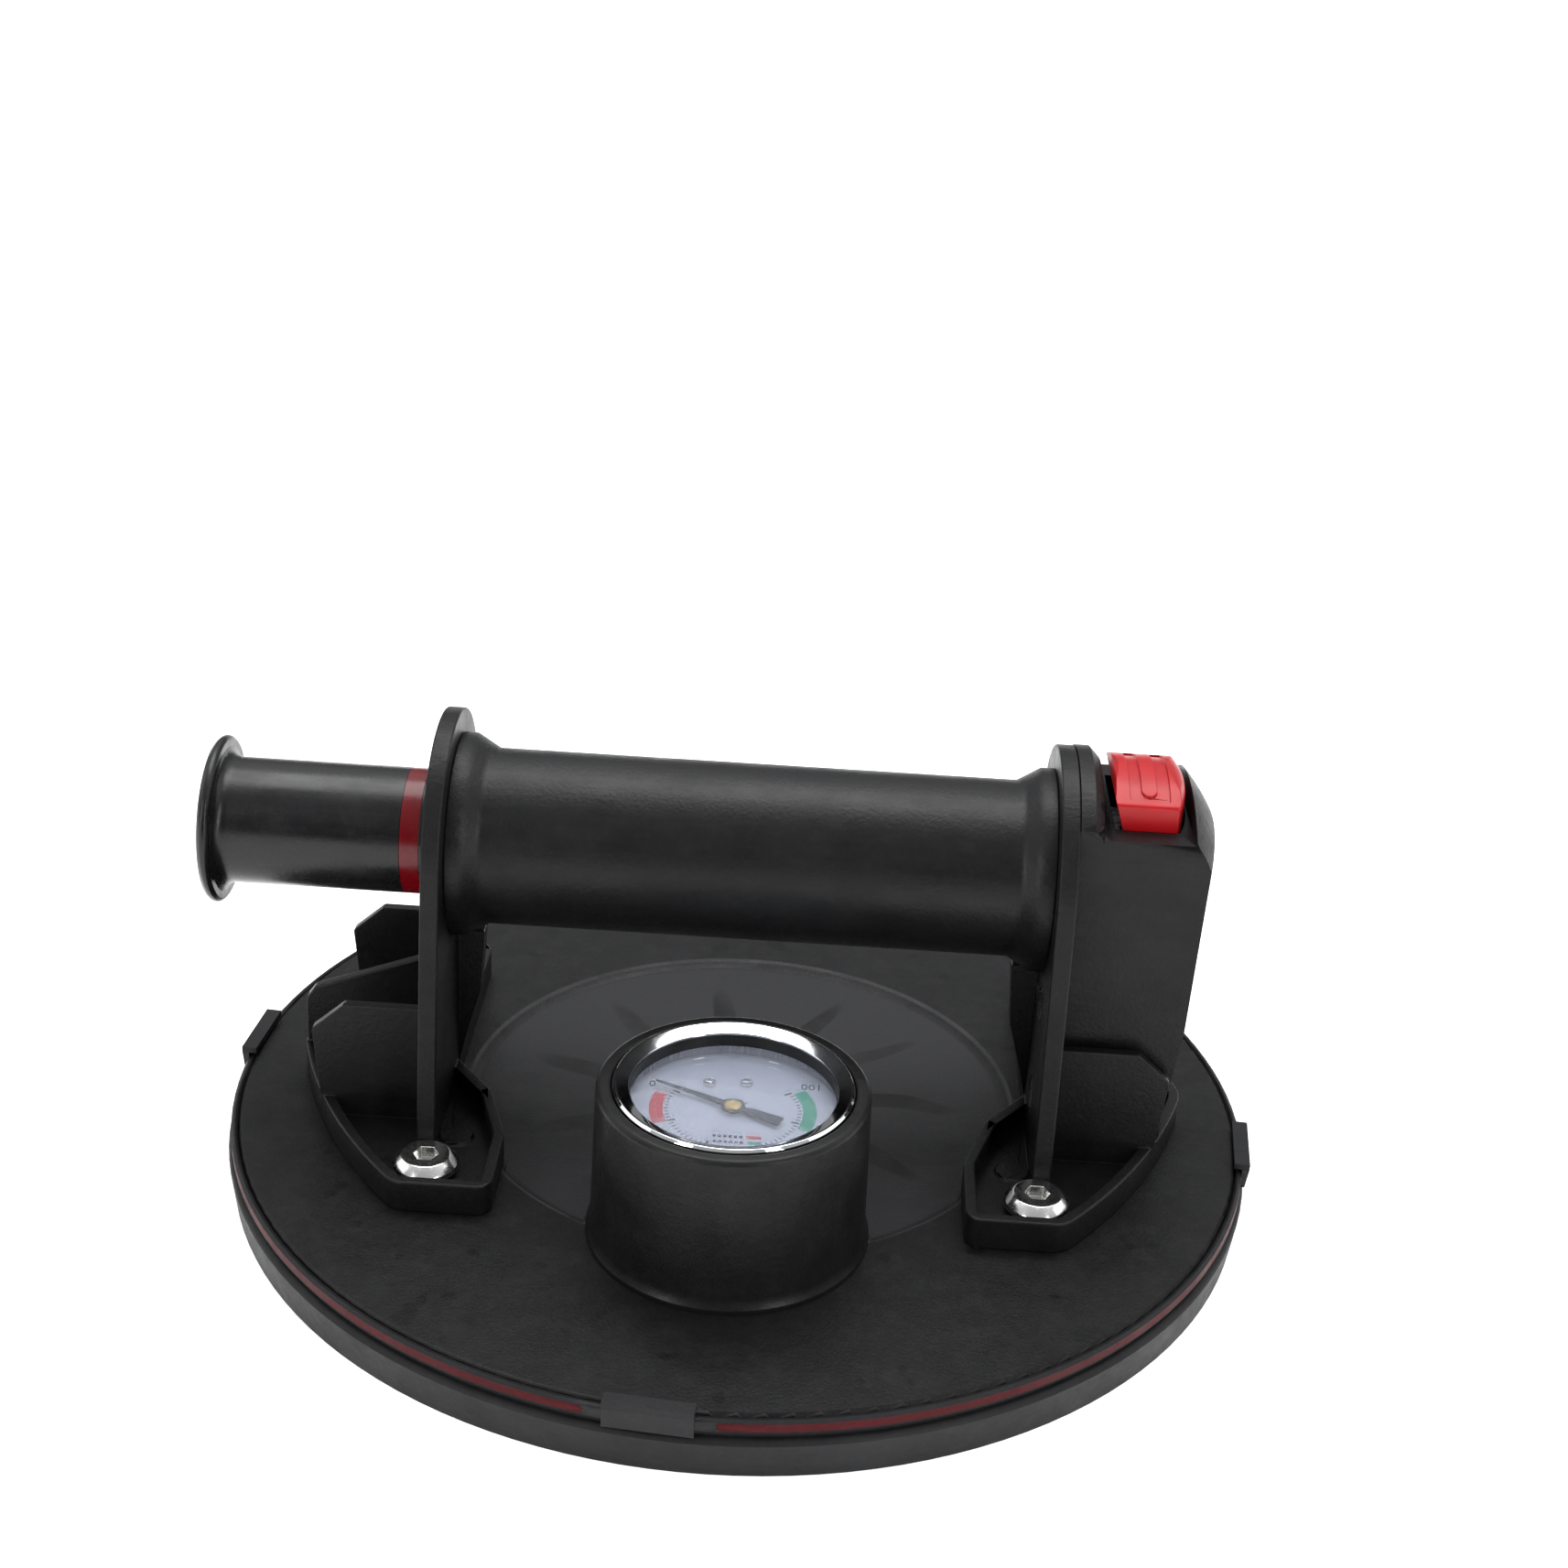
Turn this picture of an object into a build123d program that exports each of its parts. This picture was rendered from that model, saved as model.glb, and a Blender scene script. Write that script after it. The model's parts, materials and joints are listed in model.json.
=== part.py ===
"""Eight-inch vacuum lifting cup with a hand pump in its grip, built as separate pieces.

Millimetres, +Z up. The origin is the centre of the sealing lip's plane. The grip runs along X:
the pump plunger comes out at -X, the release button is at +X and the gauge is at -Y.
"""

import math
import os

from build123d import *

# ---- pad and base plate --------------------------------------------------------------------
PAD_TOP = 7.2
PLATE_LEDGE = 9.6
PLATE_TOP = 11.6
PLATE_R = 99.5
PLATE_LOWER_R = 94.7
RECESS_R_TOP = 55.4
RECESS_R_BOTTOM = 53.2
RECESS_DEPTH = 1.2
TAB_ANGLES = (84.4, 174.4, 264.4, 354.4)
TAB_HALF_WIDTH = 7.8
LINE_GAP = 11.3
LINE_Z = (9.4, 11.0)
LINE_R = (100.6, 101.0)

# ---- brackets ------------------------------------------------------------------------------
FLOOR_TOP = 14.0
SCREW_SEAT = 14.9
TRAY_TOP = 18.0
TRAY_WALL = 2.2
UPRIGHT_IN = 57.0
HEAD_SEAT = 59.2
UPRIGHT_OUT = 60.5
UPRIGHT_R = 24.4
UPRIGHT_HALF_BASE = 31.5
PANEL_Y = 20.0
PANEL_T = 2.0
RIB_T = 2.5
SCREWS = ((57.5, -38.0), (66.9, 27.5))

# ---- grip and pump, all turned about the handle's axis ----------------------------------------
HANDLE_Z = 66.2
GRIP_R = 17.05
GRIP_FLANGE_R = 19.7
GRIP_BORE = 15.0
CYLINDER_R = 14.9
BORE_R = 13.2
PLUNGER_R = 12.2
PLUNGER_BORE = 9.5
PLUNGER_END = -102.0
PLUNGER_TAIL = -20.0
BAND_X = (-66.6, -63.0)
PUMP_SPRING_X = (-8.4, 42.0)

# ---- release valve ----------------------------------------------------------------------------
VALVE_X = 73.5
BLOCK_HALF = 9.5
BLOCK_Z = (39.0, 76.0)
SEAT_Z = 68.5
STEM_R = 2.05
BUTTON_R = 23.5
BUTTON_HALF = 12.0
HOUSING_HALF = 17.5
HOUSING_WALL = 2.4
HOUSING_AXIS_X = 44.7
HOUSING_R = 24.6
SADDLE_X = (65.0, 82.0)
SADDLE_Z = 81.5
HOUSING_SCREWS = ((-12.6, 44.0), (12.6, 44.0), (-12.6, 24.0), (12.6, 24.0))
BLOCK_SCREWS = ((-6.4, 43.0), (6.4, 43.0))

# ---- gauge ------------------------------------------------------------------------------------
GAUGE_Y = -47.0
CASE_R = 20.5
CASE_BORE = 19.7
CASE_TOP = 37.9
DIAL_Z = (35.9, 36.3)
DIAL_SCREWS = ((-4.8, 8.4), (2.0, 9.1))
NEEDLE_REST = 154.0
SECTOR_PIVOT = 12.6
SECTOR_R = 11.1
PINION_R = 1.4
ARBOR_R = 0.6


def box(x0, x1, y0, y1, z0, z1):
    """Box between two corners."""
    return Pos((x0 + x1) / 2, (y0 + y1) / 2, (z0 + z1) / 2) * Box(x1 - x0, y1 - y0, z1 - z0)


def rod_z(radius, z0, z1, x=0, y=0):
    """Upright cylinder."""
    return Pos(x, y, (z0 + z1) / 2) * Cylinder(radius, z1 - z0)


def rod_x(radius, x0, x1, y=0, z=HANDLE_Z):
    """Cylinder lying along X."""
    return Pos((x0 + x1) / 2, y, z) * Rot(0, 90, 0) * Cylinder(radius, x1 - x0)


def rod_y(radius, y0, y1, x, z):
    """Cylinder lying along Y."""
    return Pos(x, (y0 + y1) / 2, z) * Rot(90, 0, 0) * Cylinder(radius, y1 - y0)


def turned(points, x=0, y=0):
    """Solid turned about an upright line; points are (radius, height)."""
    return Pos(x, y, 0) * revolve(Plane.XZ * Polygon(*points, align=None), Axis.Z)


def turned_x(points):
    """Solid turned about the handle's axis; points are (radius, x)."""
    outline = [(x, radius) for radius, x in points]
    return Pos(0, 0, HANDLE_Z) * revolve(Plane.XZ * Polygon(*outline, align=None), Axis.X)


def slab_y(points, y, thickness):
    """Plate standing along X; points are (x, z)."""
    return Pos(0, y, 0) * extrude(Plane.XZ * Polygon(*points, align=None), thickness / 2, both=True)


def coil(radius, wire, start, end, turns, at, along):
    """Open coil spring whose wire stays between two stations of its axis."""
    height = end - start - wire
    path = Helix(height / turns, height, radius)
    ring = sweep(Plane(path @ 0, z_dir=path % 0) * Circle(wire / 2), path=path)
    return at * along * Pos(0, 0, start + wire / 2) * ring


# ---- pad --------------------------------------------------------------------------------------
def line_gaps():
    """Gaps left in the rim line beside each pull tab; the line's ends are half round."""
    reach = LINE_GAP + 0.8
    middle = sum(LINE_Z) / 2
    gap = box(95, 105, -reach, reach, LINE_Z[0] - 0.5, LINE_Z[1] + 0.5)
    gap -= rod_x(0.8, 94, 106, -reach, middle) + rod_x(0.8, 94, 106, reach, middle)
    return [Rot(0, 0, angle) * gap for angle in TAB_ANGLES]


def red_rim_line():
    """Coloured line let into the pad's side, shown when the pad is properly seated."""
    line = rod_z(LINE_R[1], *LINE_Z) - rod_z(LINE_R[0], *LINE_Z)
    for gap in line_gaps():
        line -= gap
    return line


def pull_tab():
    """Moulded tab that hooks over the plate's edge."""
    return slab_y([(100.6, 8.2), (101.5, 8.2), (102.0, 12.2), (102.0, 13.4), (99.0, 13.4),
                   (99.0, 12.2), (100.6, 12.2)], 0, 2 * TAB_HALF_WIDTH)


def vacuum_pad():
    """Rubber pad: membrane, sealing lip, side wall stretched round the plate, four tabs."""
    pad = turned([(0, 5.0), (88, 5.0), (93.5, 3.4), (97.0, 0), (100.8, 0), (101.6, 6.8),
                  (101.2, 7.6), (100.2, 7.8), (100.2, 8.8), (100.8, 8.9), (101.0, 9.2),
                  (101.0, 11.0), (100.5, 11.4), (99.8, 11.4), (99.8, PLATE_LEDGE),
                  (95.0, PLATE_LEDGE), (95.0, PAD_TOP), (0, PAD_TOP)])
    for angle in TAB_ANGLES:
        pad += Rot(0, 0, angle) * pull_tab()
    pad -= rod_z(3.0, 0, 10, VALVE_X)
    pad -= rod_z(4.0, 0, 10, 0, GAUGE_Y)
    return pad - red_rim_line()


# ---- plate ------------------------------------------------------------------------------------
def mitred(points, grow):
    """Inner vertices of a line, each moved sideways to the line's right by the same distance."""
    moved = []
    for before, here, after in zip(points, points[1:], points[2:]):
        first = Vector(here[1] - before[1], before[0] - here[0]).normalized()
        second = Vector(after[1] - here[1], here[0] - after[0]).normalized()
        step = (first + second) * (grow / (1 + first.dot(second)))
        moved.append((here[0] + step.X, here[1] + step.Y))
    return moved


def foot_outline(grow):
    """Footprint of the +X bracket, grown all round; behind the upright it is a narrow toe."""
    def rim(y):
        return (-29.2 + math.sqrt((122.2 + grow) ** 2 - (abs(y) + 32.8) ** 2), y)
    front = rim(-48.5 - grow)
    back = rim(44 + grow)
    outer = ThreePointArc(front, rim(-21), rim(0)) + ThreePointArc(rim(0), rim(21), back)
    inner = mitred([(75, 44), (57, 44), (57, -4), (48.6, -15), (43.8, -30), (43.8, -48.5),
                    (70, -48.5)], grow)
    face = make_face(outer + Polyline(back, *inner, front))
    for inside, radius in ((lambda v: v.X < 50 and v.Y < -40, 3.0),
                           (lambda v: v.X > 85, 9.0),
                           (lambda v: v.X > 55 and v.Y < -40, 5.0),
                           (lambda v: v.Y > 40, 3.0),
                           (lambda v: v.X < 52 and -35 < v.Y < -10, 8.0)):
        face = fillet([v for v in face.vertices() if inside(v)], radius + grow)
    return face


def foot_prism(grow, z0, z1):
    """Footprint grown or shrunk all round, as a block between two heights."""
    return Pos(0, 0, z0) * extrude(foot_outline(grow), z1 - z0)


def base_plate():
    """Round plate with a shallow recess that leaves lands under the feet and the gauge."""
    plate = turned([(0, PAD_TOP), (PLATE_LOWER_R, PAD_TOP), (PLATE_LOWER_R, PLATE_LEDGE),
                    (PLATE_R, PLATE_LEDGE), (PLATE_R, PLATE_TOP), (0, PLATE_TOP)])
    plate = fillet(plate.edges().group_by(Axis.Z)[-1], 0.8)
    recess = Pos(0, 0, PLATE_TOP - RECESS_DEPTH / 2) * Cone(RECESS_R_BOTTOM, RECESS_R_TOP,
                                                            RECESS_DEPTH)
    land = foot_prism(0.4, 5, 15)
    recess -= land + mirror(land, about=Plane.YZ) + rod_z(26.6, 5, 15, 0, GAUGE_Y)
    plate -= recess
    for x, y in corners():
        plate -= rod_z(3.65, 7.6, PLATE_TOP, x, y)
    plate -= rod_z(4.9, 5, 15, 0, GAUGE_Y)
    return plate - rod_z(4.45, 5, 15, VALVE_X)


def corners():
    """Stations of the four bracket screws."""
    return [(side * x, y) for side in (-1, 1) for x, y in SCREWS]


def threaded_inserts():
    """Brass inserts in the plate for the bracket screws."""
    ring = [(2.5, 7.7), (3.6, 7.7), (3.6, 11.5), (2.5, 11.5)]
    return Compound(children=[turned(ring, x, y) for x, y in corners()])


# ---- brackets ---------------------------------------------------------------------------------
def upright_outline(radius):
    """Round head and straight flanks seen along X, as (y, z)."""
    drop = HANDLE_Z - FLOOR_TOP
    lean = math.acos(radius / math.hypot(UPRIGHT_HALF_BASE, drop))
    turn = lean - math.atan2(drop, UPRIGHT_HALF_BASE)
    ty = radius * math.cos(turn)
    tz = HANDLE_Z + radius * math.sin(turn)
    flanks = Polygon((-UPRIGHT_HALF_BASE, FLOOR_TOP - 1), (UPRIGHT_HALF_BASE, FLOOR_TOP - 1),
                     (UPRIGHT_HALF_BASE, FLOOR_TOP), (ty, tz), (-ty, tz),
                     (-UPRIGHT_HALF_BASE, FLOOR_TOP), align=None)
    return flanks + Pos(0, HANDLE_Z) * Circle(radius)


def upright_plate(radius, x0, x1):
    """Upright's outline as a plate between two X stations."""
    return extrude(Plane.YZ.offset(x0) * upright_outline(radius), x1 - x0)


def bracket():
    """Foot tray, upright, side panels and inner rib shared by both brackets, on the +X side."""
    body = foot_prism(0, PLATE_TOP, TRAY_TOP) - foot_prism(-TRAY_WALL, FLOOR_TOP, TRAY_TOP + 1)
    body += upright_plate(UPRIGHT_R, UPRIGHT_IN, UPRIGHT_OUT)
    for y in (-PANEL_Y, PANEL_Y):
        body += slab_y([(60, 13), (60, 38.5), (76, 38.5), (82.3, 32.9), (81.0, 18.5), (79.5, 13)],
                       y, PANEL_T)
    body += slab_y([(58, 15.5), (57, 16), (55.7, 21.8), (52.7, 32.8), (51.8, 46.3), (58, 46.3)],
                   0, 5.0)
    body += rod_z(3.3, 13, 14.5, 53.6, -26.5)
    for x, y in SCREWS:
        body += rod_z(5.0, 13, SCREW_SEAT, x, y)
        body -= rod_z(2.8, 10, 20, x, y)
    return body


def left_bracket():
    """Bracket on the plunger's side: bored for the guide bush, with an outer centre rib."""
    body = bracket()
    body += slab_y([(60, 13), (60, 40.3), (86.2, 30.3), (87.7, 28.1), (87.7, 13)], 0, RIB_T)
    body -= rod_x(13.55, 50, 65)
    return mirror(body, about=Plane.YZ)


def right_bracket():
    """Bracket on the valve's side: bored for the pump's outlet and the screws."""
    body = bracket()
    body -= rod_x(4.3, 50, 65)
    body -= rod_z(6.2, 10, 16, VALVE_X)
    for y, z in HOUSING_SCREWS + BLOCK_SCREWS:
        body -= rod_x(1.6, 50, 65, y, z) + rod_x(2.95, 50, HEAD_SEAT, y, z)
    return body


def hex_prism(across, z0, z1):
    """Upright hexagonal prism."""
    return Pos(0, 0, z0) * extrude(RegularPolygon(across / 2, 6, major_radius=False), z1 - z0)


def bracket_screws():
    """Four bevelled socket screws that clamp the brackets to the plate."""
    screw = turned([(0, 7.9), (2.45, 7.9), (2.45, SCREW_SEAT), (6.0, SCREW_SEAT), (6.3, 15.2),
                    (6.3, 15.8), (6.1, 16.1), (4.7, 17.5), (4.4, 17.6), (0, 17.6)])
    screw -= hex_prism(4.2, 15.4, 18)
    return Compound(children=[Pos(x, y, 0) * screw for x, y in corners()])


def handle_grip():
    """Tubular hand grip that flares into a flange against each upright."""
    half = [(GRIP_BORE, UPRIGHT_IN), (GRIP_FLANGE_R, UPRIGHT_IN), (GRIP_FLANGE_R, 54.5),
            (GRIP_R, 50)]
    return turned_x(half + [(r, -x) for r, x in reversed(half)])


# ---- pump -------------------------------------------------------------------------------------
def pump_cylinder():
    """Pump barrel inside the grip."""
    return rod_x(CYLINDER_R, -UPRIGHT_IN, 50) - rod_x(BORE_R, -UPRIGHT_IN, 50)


def guide_bush():
    """Long sleeve that guides the plunger and stops the piston head when it is out."""
    return turned_x([(12.25, -60.5), (13.5, -60.5), (13.5, -57), (13.15, -57), (13.15, -20.2),
                     (12.25, -20.2)])


def plunger():
    """Hollow plunger with a groove for the warning band and a flared outer end."""
    return turned_x([(PLUNGER_BORE, PLUNGER_END), (14.2, PLUNGER_END), (13.3, -101.7),
                     (12.5, -100.8), (PLUNGER_R, -99.5), (PLUNGER_R, BAND_X[0]),
                     (11.9, BAND_X[0]), (11.9, BAND_X[1]), (PLUNGER_R, BAND_X[1]),
                     (PLUNGER_R, PLUNGER_TAIL), (PLUNGER_BORE, PLUNGER_TAIL)])


def vacuum_warning_band():
    """Red band on the plunger that shows when vacuum has been lost."""
    return rod_x(PLUNGER_R, *BAND_X) - rod_x(11.9, *BAND_X)


def thumb_pad():
    """Cap pressed with the thumb to work the pump."""
    return turned_x([(0, -105.2), (8, -105.1), (13, -104.8), (15.4, -104.3), (16.2, -103.4),
                     (16.2, -102.6), (15.6, PLUNGER_END), (9.45, PLUNGER_END), (9.45, -93),
                     (7.5, -93), (7.5, -101), (0, -101)])


def piston_head():
    """Head fixed in the plunger's inner end."""
    return turned_x([(2.0, -12), (13.1, -12), (13.1, PLUNGER_TAIL), (9.45, PLUNGER_TAIL),
                     (9.45, -28), (0, -28), (0, -24), (2.0, -24)])


def piston_cup_seal():
    """Cup seal whose lip opens toward the inlet."""
    return turned_x([(2.6, -12), (12.9, -12), (13.15, -7.0), (12.3, -7.0), (11.6, -10.4),
                     (2.6, -10.4)])


def seal_retainer():
    """Washer that clamps the cup and seats the spring."""
    return turned_x([(2.1, -10.4), (10.6, -10.4), (10.6, -8.4), (2.1, -8.4)])


def retainer_screw():
    """Cap screw through the retainer into the piston head."""
    screw = turned_x([(0, -22), (1.95, -22), (1.95, -8.4), (3.6, -8.4), (3.6, -6.2), (0, -6.2)])
    socket = Pos(0, 0, HANDLE_Z) * Rot(0, 90, 0) * hex_prism(2.5, -7.8, -6)
    return screw - socket


def pump_spring():
    """Spring that returns the plunger."""
    return coil(9.0, 1.4, *PUMP_SPRING_X, 9, Pos(0, 0, HANDLE_Z), Rot(0, 90, 0))


def cylinder_end_cap():
    """Inner end of the barrel with the inlet ports and the spigot to the valve block."""
    cap = turned_x([(1.25, 42), (13.15, 42), (13.15, 50), (CYLINDER_R, 50),
                    (CYLINDER_R, UPRIGHT_IN), (4.0, UPRIGHT_IN), (4.0, 66.9), (1.6, 66.9),
                    (1.6, 46.2), (3.8, 46.2), (3.8, 44.6), (1.25, 44.6)])
    for y, dz in ((2.6, 0), (-2.6, 0), (0, 2.6), (0, -2.6)):
        cap -= rod_x(0.7, 41, 45, y, HANDLE_Z + dz)
    return cap


def inlet_valve():
    """Rubber umbrella valve over the inlet ports."""
    return turned_x([(0, 40.8), (3.4, 41.1), (5.0, 41.7), (5.0, 42.0), (1.2, 42.0), (1.2, 44.4),
                     (0, 44.4)])


def port_oring():
    """O-ring between the pump's spigot and the valve block."""
    return Pos(61.3, 0, HANDLE_Z) * Rot(0, 90, 0) * Torus(4.75, 0.7)


# ---- release valve ----------------------------------------------------------------------------
def valve_block():
    """Block that joins pump, hose and release valve."""
    block = box(UPRIGHT_OUT, 80, -BLOCK_HALF, BLOCK_HALF, *BLOCK_Z)
    block -= rod_x(4.1, 60, 67)
    block -= rod_x(5.65, 60, 62.1)
    block -= rod_x(1.6, 66, 71)
    block -= rod_z(5.0, 38, SEAT_Z, VALVE_X)
    block -= rod_z(2.9, SEAT_Z - 1, 72, VALVE_X)
    block -= rod_y(1.2, -10, 10, VALVE_X, 70.4)
    block -= rod_z(2.1, 71, 77, VALVE_X)
    block -= rod_z(3.6, 73.5, 77, VALVE_X)
    for y, z in BLOCK_SCREWS:
        block -= rod_x(1.3, 60, 69, y, z)
    return block


def small_screw(y, z, tip):
    """Pan-head screw sunk into the inner face of the upright."""
    screw = rod_x(2.7, UPRIGHT_IN + 0.2, HEAD_SEAT, y, z) + rod_x(1.25, 58, tip, y, z)
    return screw - box(57, 58.2, y - 2.0, y + 2.0, z - 0.35, z + 0.35)


def valve_block_screws():
    """Screws that hold the valve block to the upright."""
    return Compound(children=[small_screw(y, z, 68.5) for y, z in BLOCK_SCREWS])


def housing_screws():
    """Screws that hold the valve housing to the upright."""
    return Compound(children=[small_screw(y, z, 69) for y, z in HOUSING_SCREWS])


def hood(inset):
    """Body of the housing, shrunk all round by the inset."""
    t = inset
    foot = 14.2 - 2 * t
    wall = turned([(0, 95), (90.05 - t, 95), (90.05 - t, 77), (89.1 - t, 42), (88.3 - t, 35),
                   (87.3 - t, 27), (86.6 - t, foot), (0, foot)], -3)

    def shoulder(degrees):
        turn = math.radians(degrees)
        return (15.33 + (30.8 - t) * math.cos(turn), 65.34 + (30.8 - t) * math.sin(turn))
    low, crown = shoulder(18.3), shoulder(57.4)
    profile = ThreePointArc(low, shoulder(32.9), crown)
    profile += Polyline(crown, (0, crown[1]), (0, 5), (low[0], 5), low)
    dome = Pos(HOUSING_AXIS_X, 0, 0) * revolve(Plane.XZ * make_face(profile), Axis.Z)
    half = HOUSING_HALF - t
    round_top = rod_x(HOUSING_R - t, 55, 95) + box(55, 95, -half, half, 0, HANDLE_Z)
    return wall & dome & round_top & box(UPRIGHT_OUT - t, 95, -half, half, foot, 95)


def valve_housing():
    """Hood over the valve block, with a cross slot for the release button."""
    w = HOUSING_WALL
    x0, x1 = SADDLE_X
    neck = turned_x([(0, 60), (HOUSING_R, 60), (HOUSING_R, 63.2), (HOUSING_R - 1.8, x0), (0, x0)])
    outer = hood(0) & (neck + box(60, x0, -20, 20, 0, HANDLE_Z) + box(x0, 95, -20, 20, 0, 95))
    tub = box(x0 - w, x1 + w, -20, 20, SADDLE_Z - w, 95)
    shell = outer - (hood(w) - tub)
    slot = box(x0, x1, -20, 20, SADDLE_Z, 95)
    shell -= fillet(slot.edges().group_by(Axis.Z)[0].sort_by(Axis.X)[0], 1.8)
    hole = box(67.4, 90, -BUTTON_HALF - 0.3, BUTTON_HALF + 0.3, 75, 85)
    shell -= hole & rod_z(36.8, 70, 90, HOUSING_AXIS_X)
    shell -= foot_prism(2.0, 10, TRAY_TOP + 0.3) - foot_prism(-TRAY_WALL - 0.3, 9, 20)
    for y, z in HOUSING_SCREWS:
        shell += rod_x(2.6, UPRIGHT_OUT, 70, y, z) - rod_x(1.3, 60, 71, y, z)
    for y, z in HOUSING_SCREWS:
        shell -= rod_x(1.3, 60, 69.5, y, z)
    return shell


def release_button():
    """Hollow push button whose top follows the grip's curve, with an inset and a thumb ridge."""
    side = [(69.4, 79.5), (82, 79.5), (82, 89.8), (68.2, 89.8), (67.3, 89.0), (67.0, 87.0)]
    end = turned([(0, 79), (36.3, 79), (36.3, 86.2), (36.0, 87.4), (35.2, 88.4), (34.0, 89.1),
                  (32.4, 89.8), (0, 89.8)], HOUSING_AXIS_X)
    body = slab_y(side, 0, 2 * BUTTON_HALF) & rod_x(BUTTON_R, 60, 85) & end
    body = fillet(body.edges().filter_by(lambda e: abs(e.center().Y) > 11.9 and e.center().Z > 84), 0.7)
    inset = rod_x(BUTTON_R + 1, 69.7, 77.2) - rod_x(BUTTON_R - 0.5, 69, 78)
    inset &= box(69.7, 77.2, -10.8, 10.4, 80, 95)
    ridge = box(71.9, 74.8, -8.3, 10.4, 80, 95) + rod_z(1.45, 80, 95, 73.35, -8.3)
    body -= inset - ridge
    hollow = slab_y([(71.0, 79), (68.6, 86.8), (68.8, 92), (82, 92), (82, 79)], 0,
                    2 * (BUTTON_HALF - 1.6))
    body -= hollow & rod_x(BUTTON_R - 2.1, 60, 85) & rod_z(34.7, 70, 95, HOUSING_AXIS_X)
    body += rod_z(3.5, 80, 87.5, VALVE_X)
    return body - rod_z(2.08, 79, 86, VALVE_X)


def release_stem():
    """Valve stem and poppet pushed down by the button."""
    return turned([(0, 64), (4.2, 64), (4.2, 66), (STEM_R, 66), (STEM_R, 86), (0, 86)], VALVE_X)


def release_seal():
    """Rubber washer that closes the seat from below."""
    return turned([(2.1, 66), (4.4, 66), (4.4, 68.45), (2.1, 68.45)], VALVE_X)


def release_spring():
    """Spring that lifts the button."""
    return coil(3.0, 0.7, 73.5, 80.0, 4, Pos(VALVE_X, 0, 0), Rot(0, 0, 0))


def hose_barb():
    """Brass barb screwed into the bottom of the valve block."""
    barb = turned([(0, 29.5), (1.9, 29.5), (2.1, 31.2), (1.8, 31.3), (2.1, 33.0), (1.8, 33.1),
                   (1.8, 36), (4.95, 36), (4.95, 44), (0, 44)])
    barb += hex_prism(10.4, 35.5, BLOCK_Z[0])
    return Pos(VALVE_X, 0, 0) * (barb - rod_z(1.2, 29, 45))


def port_nipple():
    """Brass nipple screwed into the plate over the pad's air port."""
    nipple = turned([(0, 7.4), (4.4, 7.4), (4.4, 12.0), (1.8, 12.0), (1.8, 17.5), (2.1, 17.6),
                     (1.8, 19.3), (2.1, 19.4), (1.9, 21), (0, 21)])
    nipple += hex_prism(10.4, PLATE_TOP, 14.2)
    return Pos(VALVE_X, 0, 0) * (nipple - rod_z(1.2, 7, 22))


def vacuum_hose():
    """Hose from the plate's nipple up to the valve block."""
    return rod_z(4.0, 14.3, 35.4, VALVE_X) - rod_z(2.15, 14, 36, VALVE_X)


def port_filter():
    """Sintered disc that keeps dirt out of the pump."""
    return turned([(0, 3.4), (6, 3.4), (6, 5.0), (2.9, 5.0), (2.9, 7.1), (0, 7.1)], VALVE_X)


# ---- gauge ------------------------------------------------------------------------------------
def gauge_boot():
    """Rubber boot round the gauge's case and bezel."""
    return turned([(7, PLATE_TOP), (26.2, PLATE_TOP), (26.2, 12.5), (25.8, 13.2), (25.4, 14.4), (24.9, 41.3),
                   (24.75, 41.9), (24.4, 42.3), (23.9, 42.5), (22.5, 42.5), (22.2, 42.3),
                   (22.2, 40.3), (21.5, 40.3), (21.5, 35.6), (20.6, 35.6), (20.6, 14.2),
                   (7, 14.2)], 0, GAUGE_Y)


def gauge_case():
    """Pressed cup that holds the movement."""
    return turned([(4.55, 14.2), (CASE_R, 14.2), (CASE_R, CASE_TOP), (CASE_BORE, CASE_TOP),
                   (CASE_BORE, 15.0), (4.55, 15.0)], 0, GAUGE_Y)


def gauge_bezel():
    """Chromed snap ring over the case."""
    return turned([(20.6, 35.7), (21.4, 35.7), (21.4, 40.4), (21.9, 40.4), (21.9, 42.5),
                   (21.5, 43.0), (21.1, 43.0), (18.9, 42.0), (18.9, 41.6), (20.6, 41.6)],
                  0, GAUGE_Y)


def gauge_lens():
    """Clear window."""
    return rod_z(20.4, CASE_TOP, 39.4, 0, GAUGE_Y)


def gauge_gasket():
    """Black ring between the window and the bezel."""
    return turned([(18.7, 39.4), (20.5, 39.4), (20.5, 41.6), (18.7, 41.6)], 0, GAUGE_Y)


def gauge_dial():
    """Dial plate."""
    dial = rod_z(19.6, *DIAL_Z) - rod_z(1.2, 30, 40)
    for x, y in DIAL_SCREWS:
        dial -= rod_z(0.7, 30, 40, x, y)
    return Pos(0, GAUGE_Y, 0) * dial


def dial_screws():
    """Two small screws that hold the dial on its posts."""
    screw = rod_z(1.2, DIAL_Z[1], 36.8) + rod_z(0.6, 33.7, 36.7)
    screw -= box(-2, 2, -0.15, 0.15, 36.55, 38)
    return Compound(children=[Pos(x, GAUGE_Y + y, 0) * screw for x, y in DIAL_SCREWS])


def gauge_needle():
    """Pointer with a wide counterweight tail."""
    pointer = Polygon((-9.7, -1.3), (-3.6, -1.0), (-2.4, -0.6), (1.6, -0.75), (16.1, -0.15),
                      (16.1, 0.15), (1.6, 0.75), (-2.4, 0.6), (-3.6, 1.0), (-9.7, 1.3), align=None)
    shape = pointer + Circle(2.2) - Circle(0.65)
    return Pos(0, GAUGE_Y, 37.1) * Rot(0, 0, NEEDLE_REST) * extrude(shape, 0.3)


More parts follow.
